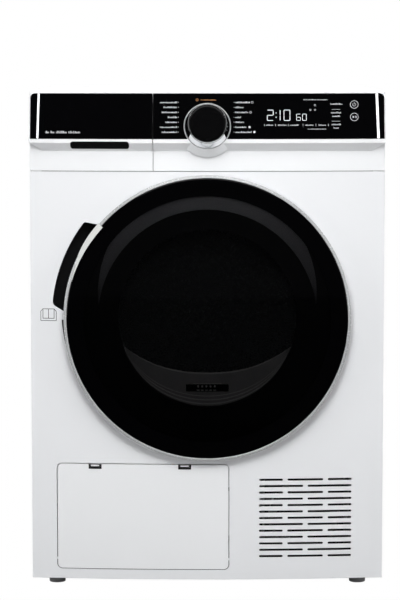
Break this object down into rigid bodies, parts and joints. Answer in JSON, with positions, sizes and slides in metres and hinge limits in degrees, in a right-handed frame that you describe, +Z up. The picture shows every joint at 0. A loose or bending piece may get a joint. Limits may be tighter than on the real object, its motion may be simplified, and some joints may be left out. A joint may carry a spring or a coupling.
{
  "type": "clothes dryer",
  "caption": "Front-loading heat-pump tumble dryer with a round glass door, reclined console, turning knob, water-tank drawer and filter hatch.",
  "frame": {"origin": "on the floor under the centre of the outer box", "axes": "+Z up, the front with its door faces -Y, +X is to the right seen from the front"},
  "size_m": [0.598, 0.6382, 0.848],
  "materials": {
    "white_panel": "semi-gloss enamel",
    "white_plastic": "satin moulded",
    "black_gloss": "high gloss",
    "door_pane": "smoked, polished",
    "window_glass": "clear",
    "chrome": "polished",
    "knob_black": "satin black",
    "dark_plastic": "fine grain",
    "grey_plastic": "fine grain",
    "pale_plastic": "fine grain",
    "zinc_steel": "galvanised",
    "steel": "machined",
    "stainless": "satin",
    "rubber": "matt",
    "felt": "wool felt",
    "fins": "mill",
    "copper": "copper tube",
    "black_paint": "semi-gloss",
    "circuit": "solder mask",
    "foot_plastic": "fine grain"
  },
  "bodies": {
    "cabinet": {"base_pan": "dark_plastic", "left_side_panel": "white_panel", "right_side_panel": "white_panel", "worktop": "white_panel", "front_panel": "white_panel", "rear_panel": "zinc_steel", "rear_duct_cover": "zinc_steel", "cabinet_screws": "steel", "handle_pocket": "dark_plastic", "exchanger_cover": "grey_plastic", "rear_feet": "foot_plastic", "console_panel": "white_plastic", "console_glass": "black_gloss", "control_board": "circuit", "tank_housing": "grey_plastic", "hinge_bracket": "steel", "door_strike": "dark_plastic", "door_gasket": "rubber", "front_bulkhead": "grey_plastic", "felt_seals": "felt", "rear_bulkhead": "zinc_steel", "drum_belt": "rubber", "motor_stator": "zinc_steel", "fan_housing": "grey_plastic", "evaporator": "fins", "condenser": "fins", "compressor": "black_paint", "refrigerant_pipes": "copper", "condensate_pump": "dark_plastic", "cooling_fan_frame": "dark_plastic", "mains_inlet": "dark_plastic"},
    "drum": {"drum_shell": "stainless", "drum_rear_wall": "stainless", "drum_lifters": "grey_plastic", "drum_shaft": "steel"},
    "rotor": {"motor_rotor": "steel", "process_fan": "dark_plastic"},
    "idler_arm": {"idler_arm": "zinc_steel"},
    "idler_pulley": {"idler_pulley": "dark_plastic"},
    "roller_left": {"roller_left": "dark_plastic"},
    "roller_right": {"roller_right": "dark_plastic"},
    "door": {"door_ring": "chrome", "door_glass": "door_pane", "door_frame": "dark_plastic", "door_window": "window_glass"},
    "latch": {"latch_hook": "steel"},
    "knob": {"knob_cap": "knob_black", "knob_skirt": "chrome"},
    "drawer": {"drawer_front": "white_plastic", "drawer_glass": "black_gloss", "water_tank": "pale_plastic"},
    "lint_filter": {"lint_filter": "pale_plastic"},
    "hatch": {"hatch_flap": "white_plastic"},
    "hatch_latch_left": {"hatch_latch_left": "white_plastic"},
    "hatch_latch_right": {"hatch_latch_right": "white_plastic"},
    "cover_lock_left": {"cover_lock_left": "dark_plastic"},
    "cover_lock_right": {"cover_lock_right": "dark_plastic"},
    "cooling_fan": {"cooling_fan": "dark_plastic"},
    "foot_left": {"foot_left": "foot_plastic"},
    "foot_right": {"foot_right": "foot_plastic"}
  },
  "joints": [
    {"name": "drum_spin", "type": "hinge", "parent": "cabinet", "child": "drum", "pos_m": [0, 0.21, 0.482], "axis": [0, 1, 0], "continuous": true},
    {"name": "rotor_spin", "type": "hinge", "parent": "cabinet", "child": "rotor", "pos_m": [0.07, 0.11, 0.118], "axis": [0, 1, 0], "continuous": true},
    {"name": "roller_left_spin", "type": "hinge", "parent": "cabinet", "child": "roller_left", "pos_m": [-0.16077, -0.174, 0.25239], "axis": [0, 1, 0], "continuous": true},
    {"name": "roller_right_spin", "type": "hinge", "parent": "cabinet", "child": "roller_right", "pos_m": [0.16077, -0.174, 0.25239], "axis": [0, 1, 0], "continuous": true},
    {"name": "idler_pulley_spin", "type": "hinge", "parent": "idler_arm", "child": "idler_pulley", "pos_m": [-0.00653, 0.023, 0.13348], "axis": [0, 1, 0], "continuous": true},
    {"name": "idler_swing", "type": "hinge", "parent": "cabinet", "child": "idler_arm", "pos_m": [-0.05253, 0.04, 0.08149], "axis": [0, 1, 0], "range_deg": [-14, 0], "stiffness_Nm_per_rad": 1.5, "springref_deg": 20.05},
    {"name": "door_hinge", "type": "hinge", "parent": "cabinet", "child": "door", "pos_m": [0.226, -0.28, 0.467], "axis": [0, 0, 1], "range_deg": [0, 150]},
    {"name": "latch_turn", "type": "hinge", "parent": "door", "child": "latch", "pos_m": [-0.222, -0.276, 0.428], "axis": [0, 0, 1], "range_deg": [0, 8], "stiffness_Nm_per_rad": 0.4, "springref_deg": -5.73},
    {"name": "knob_turn", "type": "hinge", "parent": "cabinet", "child": "knob", "pos_m": [0, -0.28739, 0.7907], "axis": [0, -0.9744, 0.225], "continuous": true},
    {"name": "drawer_slide", "type": "slide", "parent": "cabinet", "child": "drawer", "axis": [0, -1, 0], "range_m": [0, 0.42]},
    {"name": "lint_filter_lift", "type": "slide", "parent": "cabinet", "child": "lint_filter", "axis": [0, 0, 1], "range_m": [0, 0.11]},
    {"name": "hatch_hinge", "type": "hinge", "parent": "cabinet", "child": "hatch", "pos_m": [-0.10965, -0.25931, 0.052], "axis": [0.999, -0.0441, 0], "range_deg": [0, 90]},
    {"name": "hatch_latch_left_slide", "type": "slide", "parent": "hatch", "child": "hatch_latch_left", "axis": [0, 0, -1], "range_m": [0, 0.0035], "stiffness_N_per_m": 400, "springref_m": -0.002},
    {"name": "hatch_latch_right_slide", "type": "slide", "parent": "hatch", "child": "hatch_latch_right", "axis": [0, 0, -1], "range_m": [0, 0.0035], "stiffness_N_per_m": 400, "springref_m": -0.002},
    {"name": "cover_lock_left_turn", "type": "hinge", "parent": "cabinet", "child": "cover_lock_left", "pos_m": [-0.226, -0.238, 0.128], "axis": [0, 1, 0], "range_deg": [0, 90]},
    {"name": "cover_lock_right_turn", "type": "hinge", "parent": "cabinet", "child": "cover_lock_right", "pos_m": [0.006, -0.238, 0.128], "axis": [0, 1, 0], "range_deg": [0, 90]},
    {"name": "cooling_fan_spin", "type": "hinge", "parent": "cabinet", "child": "cooling_fan", "pos_m": [0.16695, -0.205, 0.12], "axis": [0, 1, 0], "continuous": true},
    {"name": "foot_left_screw", "type": "slide", "parent": "cabinet", "child": "foot_left", "axis": [0, 0, -1], "range_m": [0, 0.012]},
    {"name": "foot_right_screw", "type": "slide", "parent": "cabinet", "child": "foot_right", "axis": [0, 0, -1], "range_m": [0, 0.012]}
  ],
  "couplings": [
    {"joint": "rotor_spin", "follows": "drum_spin", "ratio": 17.353},
    {"joint": "roller_left_spin", "follows": "drum_spin", "ratio": -13.015},
    {"joint": "roller_right_spin", "follows": "drum_spin", "ratio": -13.015},
    {"joint": "idler_pulley_spin", "follows": "drum_spin", "ratio": -16.456}
  ]
}
